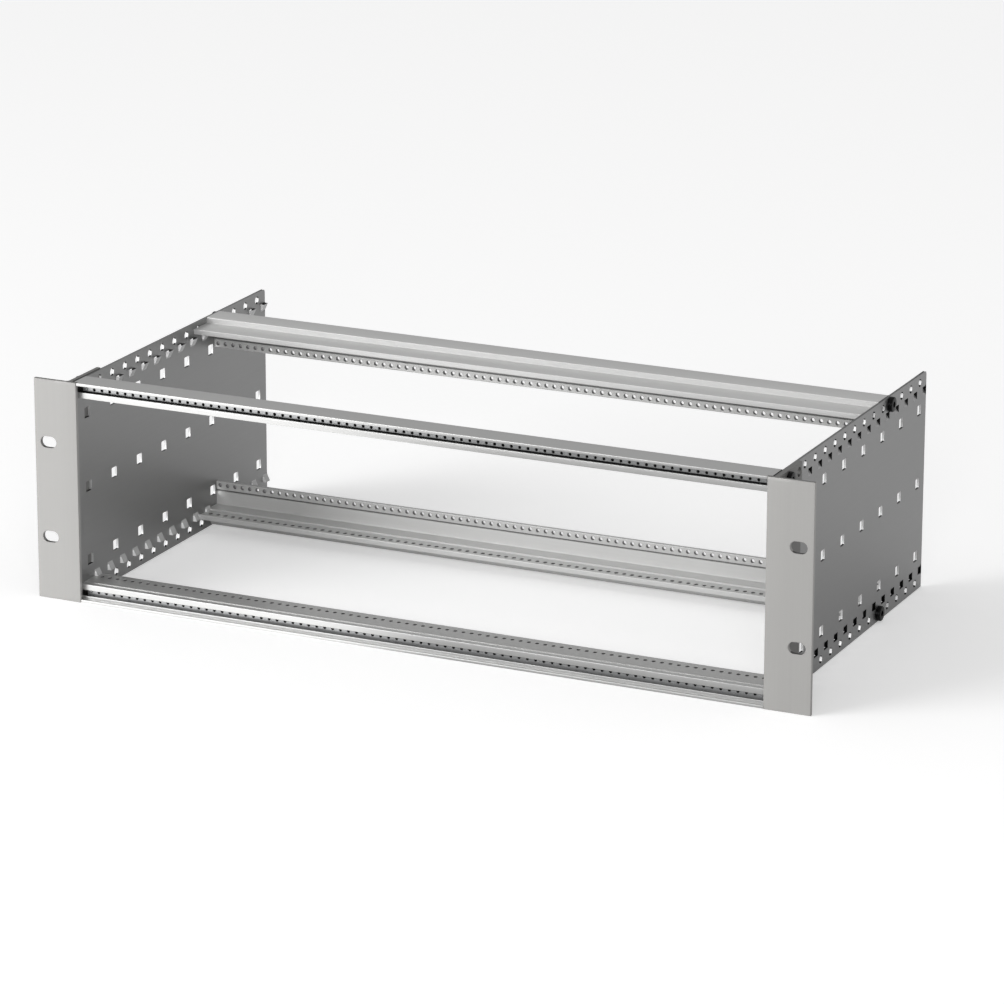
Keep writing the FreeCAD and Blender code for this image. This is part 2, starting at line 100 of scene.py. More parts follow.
# Each corner (across, up, radius) becomes a curve that leaves one edge and meets the next at radius from the corner.
# The point at t is (1-t)^2 of the start, 2t(1-t) of the corner and t^2 of the end. Outlines end up anticlockwise.
def roundOutline(corners, steps=3):
    corners = np.array(corners, float)
    point, radius = corners[:, :2], corners[:, 2:3]
    before, after = np.roll(point, 1, 0) - point, np.roll(point, -1, 0) - point
    before /= np.linalg.norm(before, axis=1, keepdims=True)
    after /= np.linalg.norm(after, axis=1, keepdims=True)
    t = np.linspace(0, 1, steps + 1)[:, None, None]
    curve = (1 - t) ** 2 * (point + before * radius) + 2 * t * (1 - t) * point + t ** 2 * (point + after * radius)
    outline = curve.transpose(1, 0, 2).reshape(-1, 2)
    outline = outline[np.linalg.norm(outline - np.roll(outline, 1, 0), axis=1) > hairline]
    across, up = outline.T
    area = (across * np.roll(up, -1) - up * np.roll(across, -1)).sum()
    return outline if area > 0 else outline[::-1]


# Points of an arc about a centre, as corners without a radius of their own.
def arcCorners(centre, radius, startAngle, endAngle, count):
    angle = np.radians(np.linspace(startAngle, endAngle, count))
    return [(centre[0] + radius * c, centre[1] + radius * s, 0) for c, s in zip(np.cos(angle), np.sin(angle))]


# Every extra point goes into the edge of the outline on which it lies. Past the ends of an edge, the distance to
# it counts as a metre more.
def addPoints(outline, extra):
    extra = np.array(extra, float)
    edge = np.roll(outline, -1, 0) - outline
    offset = extra[:, None] - outline
    t = (offset * edge).sum(-1) / (edge ** 2).sum(-1)
    metre = 1e3
    apart = np.linalg.norm(offset - t[..., None] * edge, axis=-1) + metre * ((t < 0) | (t > 1))
    chosen = apart.argmin(1)
    place = np.concatenate([np.arange(len(outline)), chosen + t[np.arange(len(extra)), chosen]])
    return np.concatenate([outline, extra])[np.argsort(place, kind="stable")]


# Lines of points across a face for a row of holes: the centre and an even number of cells on both sides of it.
def holeLines(centre, direction, cell, cells=4):
    steps = np.arange(-cells // 2, cells // 2 + 1)[:, None] * cell
    return np.array(centre, float) + steps * np.array(direction, float)


# Where a hole's lines begin: the first of its points in the outline, or the first of its stations.
def firstRow(outline, lines):
    ends = np.array([lines[0], lines[-1]])
    return int(np.abs(outline - ends[:, None]).sum(-1).argmin(1).min())


def firstColumn(stations, centres, cells=4):
    return np.abs(stations[:, None] - np.atleast_1d(centres)).argmin(0) - cells // 2


# Edge of a hole as a rounded box, from its half width, half height and corner radius: a quarter of the loop
# runs up the straight side, round the corner by an angle from 0 to 90 degrees, and along the other side.
def holeLoop(halfAlong, halfAcross, corner, cells):
    k = np.arange(4 * cells)
    half = cells / 2
    along = np.clip(np.abs(k - 4 * half) - 2 * half, -half, half)
    across = np.clip(np.abs((k - 2 * half) % (8 * half) - 4 * half) - 2 * half, -half, half)
    q = cells - np.abs(k % (2 * cells) - cells)
    sideA, sideB = int(halfAcross > corner + hairline), int(halfAlong > corner + hairline)
    turn = np.pi / 2 * np.clip((q - sideA) / (cells - sideA - sideB), 0, 1)
    a = np.sign(along) * ((halfAlong - corner) * np.clip((cells - q) / max(sideB, 1), 0, 1) + corner * np.cos(turn))
    b = np.sign(across) * ((halfAcross - corner) * np.clip(q / max(sideA, 1), 0, 1) + corner * np.sin(turn))
    return a, b, (along + half).astype(int), (across + half).astype(int)


# Faces between two loops with the same number of points.
def ringFaces(outer, inner):
    return np.stack([outer, np.roll(outer, -1, 1), np.roll(inner, -1, 1), inner], 2).reshape(-1, 4, 3)


# A scoop is a wedge, folded along one side and open along the other: its height is push times the way from the
# fold to the cut, over nearly its whole length, with steep closed ends. The back bulges a little above the straight
# line, and its lip thins as the metal is pressed out.
def scoopFaces(hole, centre, outward, onward, normal, rim, along, across):
    shoulder, bulge = 0.86, 0.2
    a = np.array([-1, -shoulder, 0, shoulder, 1]) * hole["half"][0]
    b = np.linspace(-1, 1, 5) * hole["half"][1]
    flat = centre[:, None] + outward[:, None] * a[:, None, None] + onward * b[:, None]
    fromFold = np.linspace(0, 1, 5) if hole["cutSide"] > 0 else np.linspace(1, 0, 5)
    raised = np.array([0, 1, 1, 1, 0])[:, None]
    height = hole["push"] * raised * fromFold * (1 + bulge - bulge * fromFold)
    wedge = flat + normal[:, None] * height[..., None]
    last = 4 if hole["cutSide"] > 0 else 0
    cut, lip = flat[:, :, last], wedge[:, :, last]
    wallFoot = cut - normal * hole["depth"]
    lipFoot = lip - normal * (hole["depth"] - hole["thinning"] / 2 * raised)
    faces = np.stack([wedge[:, :-1, :-1], wedge[:, 1:, :-1], wedge[:, 1:, 1:], wedge[:, :-1, 1:]], 3)
    wall = np.stack([cut[:, :-1], cut[:, 1:], wallFoot[:, 1:], wallFoot[:, :-1]], 2)
    brim = np.stack([lip[:, 1:], lip[:, :-1], lipFoot[:, :-1], lipFoot[:, 1:]], 2)
    if hole["cutSide"] > 0:
        wall, brim = wall[:, :, ::-1], brim[:, :, ::-1]
    edge = flat[:, along, across]
    return [ringFaces(rim, edge), faces.reshape(-1, 4, 3), wall.reshape(-1, 4, 3), brim.reshape(-1, 4, 3)]


# A closed outline carried along straight stations. A hole takes a block of the grid's faces away and puts in
# a ring out to the hole's edge, a small bevel, the wall down to its depth and, where it is blind, a floor.
# A hole through a wall is cut from both faces, each to half the wall's thickness.
def carryOutline(outline, stations, holes=(), bend=None):
    count, lines = len(outline), len(stations)
    grid = np.empty((count + 1, lines, 3))
    grid[..., :2] = np.concatenate([outline, outline[:1]])[:, None]
    grid[..., 2] = stations
    if bend is not None:
        grid = bend(grid)
    skin = np.ones((count, lines - 1), bool)
    patches = []
    for hole in holes:
        cells = hole.get("cells", 4)
        row, column = [a.ravel() for a in np.meshgrid(hole["rows"], hole["columns"])]
        cell = np.arange(cells)
        skin[(row[:, None, None] + cell[:, None]), (column[:, None, None] + cell)] = False
        half, corner, bevel = hole["half"], hole["corner"], holeBevel
        a, b, along, across = holeLoop(half[0], half[1], corner, cells)
        wideA, wideB, _, _ = holeLoop(half[0] + bevel, half[1] + bevel, corner + bevel, cells)
        rim = grid[row[:, None] + along, column[:, None] + across]
        centre = grid[row + cells // 2, column + cells // 2][:, None]
        outward = grid[row + cells, column] - grid[row, column]
        outward /= np.linalg.norm(outward, axis=1, keepdims=True)
        onward = np.array([0.0, 0.0, 1.0])
        normal = np.cross(outward, onward)[:, None]
        outward = outward[:, None]
        if "push" in hole:
            patches += scoopFaces(hole, centre, outward, onward, normal, rim, along, across)
            continue
        edge = centre + outward * wideA[:, None] + onward * wideB[:, None]
        mouth = centre + outward * a[:, None] + onward * b[:, None] - normal * bevel
        floor = mouth - normal * (hole["depth"] - bevel)
        patches += [ringFaces(rim, edge), ringFaces(edge, mouth), ringFaces(mouth, floor)]
        if hole.get("blind"):
            patches.append(floor)
    face = np.stack([grid[:-1, :-1], grid[1:, :-1], grid[1:, 1:], grid[:-1, 1:]], 2)
    patches += [face[skin], grid[:-1, 0][::-1][None], grid[:-1, -1][None]]
    return patches


# Outlines drawn in (y, z) run along x, and those drawn in (x, y) run along z.
def alongX(patches, lift=0.0):
    return [patch[..., [2, 0, 1]] + (0, 0, lift) for patch in patches]


# Outline of (radius, height, six) turned about an axis: the point at angle a is (radius cos a, radius sin a,
# height), and where six is 1 the radius is that to the side of a hexagon.
def turnOutline(outline, sides=36):
    radius, height, six = np.array(outline, float).T[:, :, None]
    angle = np.linspace(0, 2 * np.pi, sides + 1)
    hexagon = np.cos((angle % (np.pi / 3)) - np.pi / 6)
    radius = radius * (1 - six + six / hexagon)
    grid = np.stack([radius * np.cos(angle), radius * np.sin(angle), height + 0 * angle], -1)
    grid[:, -1] = grid[:, 0]
    return [np.stack([grid[:-1, :-1], grid[:-1, 1:], grid[1:, 1:], grid[1:, :-1]], 2).reshape(-1, 4, 3)]


# A hex colour as it is seen, turned into linear light.
def linearColour(text):
    value = np.array([int(text[k:k + 2], 16) for k in (1, 3, 5)]) / 255
    level = np.where(value <= 0.04045, value / 12.92, ((value + 0.055) / 1.055) ** 2.4)
    return (*level.tolist(), 1.0)


# Adds one shader node. A setting's key is the name of a property, or the name or number of an input.
def addNode(tree, kind, settings=None, links=None):
    node = tree.nodes.new(kind)
    for key, value in (settings or {}).items():
        if isinstance(key, str) and hasattr(node, key):
            setattr(node, key, value)
        else:
            node.inputs[key].default_value = value
    for key, source in (links or {}).items():
        tree.links.new(source, node.inputs[key])
    return node


def newMaterial(name):
    material = bpy.data.materials.new(name)
    material.use_nodes = True
    material.node_tree.nodes.clear()
    return material, material.node_tree


# Shared by all metals: the two noises, how much of the mix is cloud, the height of the grain in metres, the colours
# of the painted light on cuts that face the front and of the painted shade in recesses, and the default specular
# level.
finish = {"detail": 3.0, "texture": 0.55, "cloudDetail": 2.0, "cloudShare": 0.35, "grainHeight": 0.0001,
          "paintedLight": "#FAFAFA", "paintedShade": "#080808", "specular": 0.5}


# Metal with a drawn, rolled or brushed grain: noise stretched along one axis moves the colour, the
# roughness and the height a little, and a broad cloud keeps large faces from looking flat.
def grainedMetal(name, look):
    material, tree = newMaterial(name)
    coords = addNode(tree, "ShaderNodeTexCoord").outputs["Object"]
    scale = [1 / (length * mm) for length in look["grain"]]
    stretched = addNode(tree, "ShaderNodeMapping", {"Scale": scale}, {"Vector": coords})
    grain = addNode(tree, "ShaderNodeTexNoise", {"Scale": 1.0, "Detail": finish["detail"],
                                                 "Roughness": finish["texture"]}, {"Vector": stretched.outputs[0]})
    cloud = addNode(tree, "ShaderNodeTexNoise", {"Scale": 1 / (look["cloud"] * mm), "Detail": finish["cloudDetail"]},
                    {"Vector": coords})
    both = addNode(tree, "ShaderNodeMix", {"data_type": "FLOAT", 0: finish["cloudShare"]},
                   {2: grain.outputs[0], 3: cloud.outputs[0]})
    grained = addNode(tree, "ShaderNodeMix", {"data_type": "RGBA", 6: linearColour(look["dark"]),
                                              7: linearColour(look["light"])}, {0: both.outputs[0]})
    # painted shade makes the insides of slots, pockets and holes dark; painted light makes cuts that face the front
    # bright and matte
    paintedShadeAndLight = addNode(tree, "ShaderNodeAttribute", {"attribute_name": "paintedShadeAndLight"}).outputs["Fac"]
    paintedLightShare = addNode(tree, "ShaderNodeMapRange", {"From Min": 0.0, "From Max": -1.0}, {"Value": paintedShadeAndLight})
    lit = addNode(tree, "ShaderNodeMix", {"data_type": "RGBA", 7: linearColour(finish["paintedLight"])},
                  {0: paintedLightShare.outputs[0], 6: grained.outputs[2]})
    colour = addNode(tree, "ShaderNodeMix", {"data_type": "RGBA", 7: linearColour(finish["paintedShade"])},
                     {0: paintedShadeAndLight, 6: lit.outputs[2]})
    metallic = addNode(tree, "ShaderNodeMapRange", {"From Min": -1.0, "From Max": 0.0, "To Min": 0.0,
                                                    "To Max": look["metallic"]}, {"Value": paintedShadeAndLight})
    rough = addNode(tree, "ShaderNodeMapRange", {"To Min": look["rough"][0], "To Max": look["rough"][1]},
                    {"Value": both.outputs[0]})
    bump = addNode(tree, "ShaderNodeBump", {"Strength": look["bump"], "Distance": finish["grainHeight"]},
                   {"Height": grain.outputs[0]})
    shader = addNode(tree, "ShaderNodeBsdfPrincipled", {
        "Specular IOR Level": look.get("specular", finish["specular"])}, {
        "Base Color": colour.outputs[2], "Metallic": metallic.outputs[0], "Roughness": rough.outputs[0],
        "Normal": bump.outputs[0]})
    addNode(tree, "ShaderNodeOutputMaterial", links={"Surface": shader.outputs[0]})
    return material


# Natural anodised aluminium, extruded: pale, satin, with faint die lines along the rail. The front rails have
# brighter faces than the rear ones.
frontLook = {"dark": "#BABAB9", "light": "#C6C6C5", "grain": (160, 0.9, 0.9), "cloud": 45,
             "rough": (0.27, 0.33), "bump": 0.02, "metallic": 0.6}
frontMetal = grainedMetal("anodisedExtrusion", frontLook)
rearLook = {"dark": "#BEBEBD", "light": "#CACAC9", "grain": (160, 0.9, 0.9), "cloud": 45,
            "rough": (0.3, 0.36), "bump": 0.02, "metallic": 0.2}
rearMetal = grainedMetal("satinExtrusion", rearLook)

# Aluminium sheet, rolled and degreased: greyer, with a soft grain along the sheet.
plateLook = {"dark": "#999999", "light": "#A2A2A2", "grain": (0.9, 60, 0.9), "cloud": 60,
             "rough": (0.36, 0.40), "bump": 0.01, "metallic": 1.0}
plateMetal = grainedMetal("rolledSheet", plateLook)

# Anodised flange profile, matte: an even warm grey.
flangeLook = {"dark": "#9E9D9B", "light": "#A6A5A3", "grain": (0.9, 0.9, 120), "cloud": 50,
              "rough": (0.44, 0.50), "bump": 0.015, "metallic": 0.15}
flangeMetal = grainedMetal("matteAnodisedProfile", flangeLook)

# Zinc-plated steel bar: slightly mottled.
stripLook = {"dark": "#A0A1A2", "light": "#B3B4B4", "grain": (14, 1.2, 1.2), "cloud": 9,
             "rough": (0.24, 0.32), "bump": 0.03, "metallic": 0.6}
stripMetal = grainedMetal("zincPlatedSteel", stripLook)

# Blackened steel screws: smooth and nearly black, with a weak sheen.
screwLook = {"dark": "#050506", "light": "#0A0A0B", "grain": (1.5, 1.5, 1.5), "cloud": 4,
             "rough": (0.2, 0.26), "bump": 0.0, "metallic": 0.0, "specular": 0.15}
screwMetal = grainedMetal("blackenedSteel", screwLook)
print("materials made")


railHalf = 215.8
floorLevel = -66.25
gridHalf = 254  # lines on each side of the middle
stripGridHalf = 251
railStations = np.concatenate([[-railHalf], np.arange(-gridHalf, gridHalf + 1) * stationStep, [railHalf]])
cardLines = (np.arange(84) - 41.5) * cardPitch  # the 84 card positions
betweenLines = (np.arange(85) - 42) * cardPitch  # half a pitch off them

# Blind slot for a card guide, in the front rails' decks and the rear rails' shelves.
guideHole = {"half": (1.45, 1.05), "corner": 1.05, "depth": 1.3, "blind": True}
guideCell = 0.9

# How much painted shade each kind of face gets, or, where negative, painted light: see the shade rule of buildPiece.
shades = {"channel": 0.96, "guide": 0.6, "ends": 0.9, "webHole": 0.7, "thread": 0.97, "pocket": 0.97,
          "squareCut": -0.45, "paintedLight": -1.0, "scoopBack": -0.35, "sheetEdge": 0.3, "slotWall": 0.8, "leg": 0.55}


def nearGuides(depth, row):
    return np.abs(depth - row) < guideHole["half"][0] + holeBevel


# Faces at the rails' ends, behind the plates, which get painted shade.
def atEnds(centre):
    return np.abs(centre[:, 0]) > railHalf - 0.1


frontRail = {
    "outline": [(0.3, 0, 0.4), (0.3, 1.8, 0.5), (1.5, 1.8, 0.3), (1.5, 1.26, 0.2), (4.3, 1.26, 0.15),
                (4.3, 3.1, 0.3), (5.6, 3.1, 0.2), (5.6, 1.8, 0), (9.6, 1.8, 0), (9.6, 6.3, 0), (8.1, 6.3, 0),
                (8.1, 8.4, 0), (5.6, 8.4, 0), (5.6, 6.55, 0.2), (4.3, 6.55, 0.3), (4.3, 10.1, 0.35),
                (6.6, 10.1, 0.1), (6.6, 9.7, 0.05), (9.2, 9.7, 0.05), (9.2, 10.1, 0.1),
                (26.9, 10.1, 0.35), (26.9, 8.4, 0.35)]
               + arcCorners((16.4, 5.25), 4.8, 41.0, -93.6, 14) + [(16.1, 0, 0.2)],
    "channel": (4.7, 9.75, 1.3, 8.5), "guideRow": 20.9, "deckTop": 10.1, "guideReach": (1.65, 0.2),
    "notchStation": 213.36, "notchDepth": 2.8,
}


# The rail's ends are cut back behind the flange: there the front points move back to the notch's depth.
def notchEnds(grid):
    beyond = np.abs(grid[..., 2]) > frontRail["notchStation"] + 0.001
    grid[..., 0] = np.where(beyond, np.maximum(grid[..., 0], frontRail["notchDepth"]), grid[..., 0])
    return grid


# Painted shade in the channel, the guide holes and the ends. Height is above the floor, or below the top on a turned
# rail.
def frontRailShade(centre, direction):
    depth, height = centre[:, 1], np.minimum(centre[:, 2] - floorLevel, -floorLevel - centre[:, 2])
    front, back, low, high = frontRail["channel"]
    channel = (depth > front) & (depth < back) & (height > low) & (height < high)
    bottom, top = (frontRail["deckTop"] - reach for reach in frontRail["guideReach"])
    guide = nearGuides(depth, frontRail["guideRow"]) & (height > bottom) & (height < top)
    return shades["channel"] * channel + shades["guide"] * guide + shades["ends"] * atEnds(centre)


def makeFrontRail(name, turned):
    top = frontRail["deckTop"]
    outline = roundOutline(frontRail["outline"])
    row = holeLines((frontRail["guideRow"], top), (1, 0), guideCell)
    outline = addPoints(outline, row)
    notch = frontRail["notchStation"] + 0.01
    stations = np.sort(np.concatenate([railStations, [-notch, notch]]))
    guides = dict(guideHole, rows=[firstRow(outline, row)], columns=firstColumn(stations, cardLines))
    patches = alongX(carryOutline(outline, stations, [guides], notchEnds), floorLevel)
    buildPiece(name + "_look", halfTurn(patches) if turned else patches, frontMetal, [name],
               shadeRule=frontRailShade)


makeFrontRail("front_rail_bottom", False)
makeFrontRail("front_rail_top", True)
print("front rails made")

rearRail = {
    "shelf": [(145.6, 9.3, 0.3), (145.6, 12.5, 0.4), (147, 12.5, 0.4), (147, 11, 0.2), (160.4, 11, 0.2),
              (160.4, 12.06, 0.25), (171, 12.06, 0.3), (171, 20.4, 0.1), (171.8, 20.4, 0), (171.8, 21.4, 0),
              (171, 21.4, 0.1), (171, 26.6, 0.35), (173.5, 26.6, 0.35)],
    "guideRow": 154.0, "shelfTop": 11.0, "webFront": 171.0, "webThickness": 2.5,
    "webHoleHeight": 24.1, "webHole": 1.25, "webCell": 0.85,
}


# Painted shade on the walls of the web's holes, inside the guide holes and on the rail's ends.
def rearRailShade(centre, direction):
    depth, inward = centre[:, 1], 0.1
    front, back = rearRail["webFront"], rearRail["webFront"] + rearRail["webThickness"]
    web = (depth > front + inward) & (depth < back - inward) & (np.abs(direction[:, 2]) < 0.99)
    guide = nearGuides(depth, rearRail["guideRow"]) & (np.abs(direction[:, 0]) > 0.1)
    return np.maximum(shades["webHole"] * web + shades["guide"] * guide, shades["ends"] * atEnds(centre))


def makeRearRail(name, tail, turned, lift):
    outline = roundOutline(rearRail["shelf"] + tail)
    front, thick = rearRail["webFront"], rearRail["webThickness"]
    shelfRow = holeLines((rearRail["guideRow"], rearRail["shelfTop"]), (1, 0), guideCell)
    webRows = [holeLines((depth, rearRail["webHoleHeight"]), (0, 1), rearRail["webCell"])
               for depth in (front, front + thick)]
    outline = addPoints(outline, np.concatenate([shelfRow] + webRows))
    guides = dict(guideHole, rows=[firstRow(outline, shelfRow)], columns=firstColumn(railStations, cardLines))
    web = {"rows": [firstRow(outline, row) for row in webRows], "columns": firstColumn(railStations, betweenLines),
           "half": (rearRail["webHole"],) * 2, "corner": rearRail["webHole"], "depth": thick / 2}
    patches = alongX(carryOutline(outline, railStations, [guides, web]), lift)
    buildPiece(name + "_look", halfTurn(patches) if turned else patches, rearMetal, [name],
               shadeRule=rearRailShade)


# The two rear rails share shelf and web, and each has its own tube for the screws. The upper one sits 5.5 mm
# further out.
bottomTail = [(173.5, 9.3, 0.35)] + arcCorners((166.4, 5.25), 4.8, 57.5, -237.5, 26)
topTail = arcCorners((177.5, 10.75), 4.95, 143.9, -90, 22) + [(162, 5.8, 0.5), (162, 9.3, 0.3)]
makeRearRail("rear_rail_bottom", bottomTail, False, floorLevel)
makeRearRail("rear_rail_top", topTail, True, floorLevel - 5.5)
print("rear rails made")


strip = {"end": 213.0, "front": 7.6, "back": 9.6, "low": 1.85, "high": 6.25, "holeHeight": 5.0,
         "hole": 0.84, "depth": 1.6, "cell": 0.6, "edge": 0.04}


# Painted shade inside the threaded holes.
def stripShade(centre, direction):
    depth = centre[:, 1]
    inside = (depth > strip["front"] + 0.12) & (depth < strip["back"] - 0.3) & (np.abs(direction[:, 2]) < 0.995)
    return shades["thread"] * inside


def makeStrip(name, turned):
    front, back, low, high, edge = (strip[key] for key in ("front", "back", "low", "high", "edge"))
    outline = roundOutline([(front, low, edge), (front, high, edge), (back, high, edge), (back, low, edge)])
    row = holeLines((front, strip["holeHeight"]), (0, 1), strip["cell"])
    outline = addPoints(outline, row)
    grid = np.arange(-stripGridHalf, stripGridHalf + 1) * stationStep
    stations = np.concatenate([[-strip["end"]], grid, [strip["end"]]])
    threads = {"rows": [firstRow(outline, row)], "columns": firstColumn(stations, cardLines),
               "half": (strip["hole"],) * 2, "corner": strip["hole"], "depth": strip["depth"], "blind": True}
    patches = alongX(carryOutline(outline, stations, [threads]), floorLevel)
    buildPiece(name + "_look", halfTurn(patches) if turned else patches, stripMetal, [name],
               shadeRule=stripShade)


makeStrip("threaded_strip_bottom", False)
makeStrip("threaded_strip_top", True)
print("strips made")


plate = {"inner": 215.8, "outer": 217.3, "front": 2.5, "rear": 237.0, "half": 65.8, "edge": 0.15, "corner": 2.1,
         "firstHole": 16.4, "pitch": 15.0, "count": 15, "blankPlace": 11, "roundRow": 61.0, "round": 2.35,
         "scoopRow": 54.85, "scoop": (2.9, 2.3), "scoopCorner": 0.3, "scoopIn": 2.2, "scoopOut": 3.1,
         "squareRows": (-44.45, 0.0, 44.45), "square": (3.0, 3.15), "squareCorner": 0.5, "topScrew": 177.5}
# Lines of the plate's grid: cells for each pitch along the depth, further lines at the two ends, and the distances
# between lines up the plate near round holes and scoops, and near square holes.
plateGrid = {"cells": 8, "frontLine": 7.0, "rearLines": (234.0, 234.6, 235.2, 235.8, 236.3), "rearMargin": 3.4,
             "bandStep": 1.5375, "squareStep": 2.0, "endLine": 65.2}


# Rounds the rear corner that ends up at the top: a point of the corner's square moves to the quarter disc, so
# that its larger distance from the square's inner sides becomes its distance from the disc's centre.
def roundCorner(grid, upward):
    depth = grid[..., 1] - (plate["rear"] - plate["corner"])
    height = grid[..., 2] * upward - (plate["half"] - plate["corner"])
    inside = (depth > 0) & (height > 0)
    scale = np.where(inside, np.maximum(depth, height) / np.hypot(depth, height), 1)
    grid[..., 1] += np.where(inside, depth * (scale - 1), 0)
    grid[..., 2] += np.where(inside, height * (scale - 1), 0) * upward
    return grid


# Painted shade: the insides of the scoops and the walls of holes that look up or down are dark, and so is the sheet's
# long edge.
# Painted light: walls and scoop ends that face the front are bright, less so in the square holes, and the scoops'
# backs and upward slopes are a little brighter than the sheet.
def plateShade(centre, direction):
    slack, edgeBand = 0.05, 65
    height, depthIn = np.abs(centre[:, 2]), plate["outer"] - np.abs(centre[:, 0])
    away, toRear, up = direction[:, 0] * np.sign(centre[:, 0]), direction[:, 1], direction[:, 2]
    sunk, beyond = depthIn > slack, depthIn > plate["outer"] - plate["inner"] + slack
    level = np.abs(height - plate["scoopRow"]) < plate["scoop"][1] + slack
    square = np.minimum(height, np.abs(height - plate["squareRows"][2])) < plate["square"][1] + 2 * slack
    acrossSheet = np.abs(away) < 0.6
    pocket = sunk & (away > 0.02) & level & ((up < -0.1) | (np.abs(toRear) > 0.5))
    wall = acrossSheet & ((up > 0.72) | (up < -0.45)) & (height < edgeBand)
    front = acrossSheet & (toRear < -0.65) & (centre[:, 1] > 2 * plate["front"]) & ~(level & (away > 0.02))
    back = beyond & (away < -0.3) & level
    slope = sunk & (away > 0.3) & level & (up > 0.3)
    longEdge = (np.abs(up) > 0.9) & (height > edgeBand)
    return np.select([pocket | wall, front & square, front, back | slope, longEdge],
                     [shades[kind] for kind in ("pocket", "squareCut", "paintedLight", "scoopBack", "sheetEdge")], 0)


def makePlate(name, turned):
    inner, outer, first, edge, half = (plate[key] for key in ("inner", "outer", "firstHole", "edge", "half"))
    cells, count = plateGrid["cells"], plate["count"]
    cell = plate["pitch"] / cells
    depthLines = first + cell * np.arange(-2, count * cells - 2)
    depthLines = np.concatenate([[plate["front"] + edge, plateGrid["frontLine"]],
                                 depthLines[depthLines < plate["rear"] - plateGrid["rearMargin"]],
                                 plateGrid["rearLines"], [plate["rear"] - edge]])
    # the upper rear screw sits a little off the pitch, so the lines near it move along
    screwIndex = round((plate["topScrew"] - first) / cell)
    depthLines[np.abs(depthLines - plate["topScrew"]) < 1.2 * cell] += plate["topScrew"] - (first + cell * screwIndex)
    outline = np.concatenate([
        [[inner + edge, plate["front"]], [outer - edge, plate["front"]]],
        np.stack([np.full(len(depthLines), outer), depthLines], 1),
        [[outer - edge, plate["rear"]], [inner + edge, plate["rear"]]],
        np.stack([np.full(len(depthLines), inner), depthLines[::-1]], 1)])
    band = np.arange(-2, 3) * plateGrid["bandStep"]
    squares = (np.array(plate["squareRows"])[:, None] + np.arange(-2, 3) * plateGrid["squareStep"]).ravel()
    endLine = plateGrid["endLine"]
    stations = np.concatenate([[-half, -endLine], -plate["roundRow"] + band, -plate["scoopRow"] + band, squares,
                               plate["scoopRow"] + band, plate["roundRow"] + band, [endLine, half]])
    stations = np.unique(np.round(stations, 4))
    outerStart = 2
    innerStart = outerStart + len(depthLines) + 2

    # a row of holes at one level, cut from the outer and the inner face
    def holes(level, indices, size, corner, pushes=(None, None)):
        lines = np.abs(depthLines[:, None] - (first + cell * np.array(indices))).argmin(0) - 2
        mirrored = innerStart + len(depthLines) - 1 - (lines + 4)
        both = [{"rows": rows, "columns": firstColumn(stations, level), "half": size, "corner": corner,
                 "depth": (outer - inner) / 2} for rows in (outerStart + lines, mirrored)]
        for hole, push in zip(both, pushes):
            if push is not None:
                hole.update({"push": push, "cutSide": level, "thinning": plate["scoopOut"] - plate["scoopIn"]})
        return both

    every = np.arange(count) * cells
    radius = plate["round"]
    # the upper row has one place left out, and the rear screw's hole beside it
    lowRow, highRow = every, np.append(np.delete(every, plate["blankPlace"]), screwIndex)
    if turned:
        lowRow, highRow = highRow, lowRow
    cuts = holes(-plate["roundRow"], lowRow, (radius, radius), radius)
    cuts += holes(plate["roundRow"], highRow, (radius, radius), radius)
    for level in (-plate["scoopRow"], plate["scoopRow"]):
        cuts += holes(level, every + cells // 2, plate["scoop"], plate["scoopCorner"],
                      (-plate["scoopOut"], plate["scoopIn"]))
    for level in plate["squareRows"]:
        cuts += holes(level, every[::2], plate["square"], plate["squareCorner"])
    patches = carryOutline(outline, stations, cuts, lambda grid: roundCorner(grid, -1 if turned else 1))
    buildPiece(name + "_look", halfTurn(patches) if turned else patches, plateMetal, [name],
               shadeRule=plateShade)


makePlate("side_plate_right", False)
makePlate("side_plate_left", True)
print("side plates made")


bracket = {"outline": [(213.67, 0, 0.3), (241.3, 0, 0.3), (241.3, 2.5, 0.3), (220.8, 2.5, 0.4), (219.8, 3.5, 0.4),
                       (219.8, 35.5, 0.3), (217.3, 35.5, 0.3), (217.3, 2.5, 0), (213.67, 2.5, 0.3)],
           "half": 66.25, "thick": 2.5, "eased": 0.25, "easedFrom": 220,
           "slotAcross": 232.55, "slotHeight": 28.575, "slot": (5.15, 3.4), "slotSteps": (1.55, 1.125),
           "leg": (217.3, 219.8), "legHoles": (16.4, 31.4), "legHole": 2.75, "legHoleHeight": 61.0, "legStep": 1.6,
           "slotReach": 64.5, "legFront": 3.2}


# Painted shade on the walls of the slots that look up or down, and a painted shadow on the leg behind the flange.
def bracketShade(centre, direction):
    wall = (np.abs(direction[:, 2]) > 0.8) & (np.abs(centre[:, 2]) < bracket["slotReach"])
    return np.maximum(shades["slotWall"] * wall, shades["leg"] * (centre[:, 1] > bracket["legFront"]))


